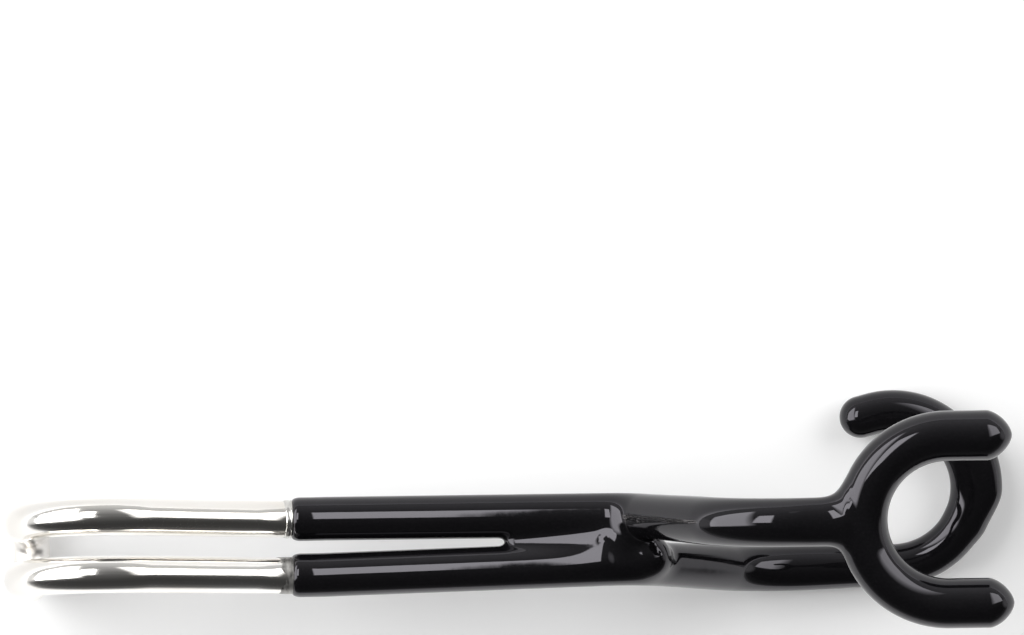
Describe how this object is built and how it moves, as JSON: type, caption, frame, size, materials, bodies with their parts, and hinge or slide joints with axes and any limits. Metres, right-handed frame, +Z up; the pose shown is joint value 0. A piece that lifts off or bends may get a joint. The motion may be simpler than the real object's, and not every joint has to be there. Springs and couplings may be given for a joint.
{
  "type": "test tube holder",
  "caption": "Rigid bent-rod holder with an open fork jaw above a curled jaw, a webbed handle and a load hook, dipped in vinyl except for the bare hook.",
  "frame": {"origin": "on the bench, straight below the centre of the curled jaw, with the part lying at rest on its hook's tip and its curled jaw", "axes": "+X from the hook towards the jaws, along the bench; +Z up from the bench; the fork jaw is above the curled jaw"},
  "size_m": [0.1774, 0.0412, 0.0543],
  "materials": {
    "bright_rod": "bright nickel plate on steel rod",
    "fork_rod": "nickel plate, hidden under the vinyl",
    "weld": "as welded, hidden under the vinyl",
    "leg_weld_metal": "as welded, hidden under the vinyl",
    "primer": "thin translucent primer at the edges of the dip",
    "vinyl": "glossy black dipped vinyl"
  },
  "bodies": {
    "root": {"hook_rod": "bright_rod", "fork_jaw_rod": "fork_rod", "fork_weld": "weld", "leg_weld": "leg_weld_metal", "primer_bands": "primer", "vinyl_skin": "vinyl"}
  },
  "joints": []
}
